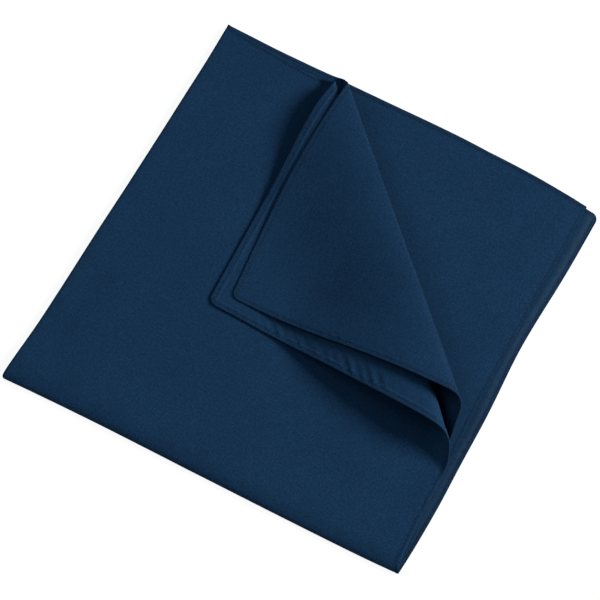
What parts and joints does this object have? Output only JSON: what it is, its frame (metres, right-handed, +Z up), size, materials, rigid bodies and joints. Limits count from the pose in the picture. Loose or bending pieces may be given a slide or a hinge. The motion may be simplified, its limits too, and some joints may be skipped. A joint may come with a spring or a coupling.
{
  "type": "folded bandana",
  "caption": "Square cotton bandana folded in quarters and lying flat, with its free corner rolled back over the middle.",
  "frame": {"origin": "middle of the underside's box, on the surface that the cloth lies on", "axes": "+Z up from that surface; +X along the front fold, from the first fold to the free side; +Y along the left fold, from the second fold to the free side"},
  "size_m": [0.2794, 0.2844, 0.029],
  "materials": {
    "lower_cotton": "matt plain weave",
    "second_cotton": "matt plain weave",
    "top_cotton": "matt plain weave"
  },
  "bodies": {
    "root": {"lower_layers": "lower_cotton", "second_layer": "second_cotton", "top_layer": "top_cotton"}
  },
  "joints": []
}
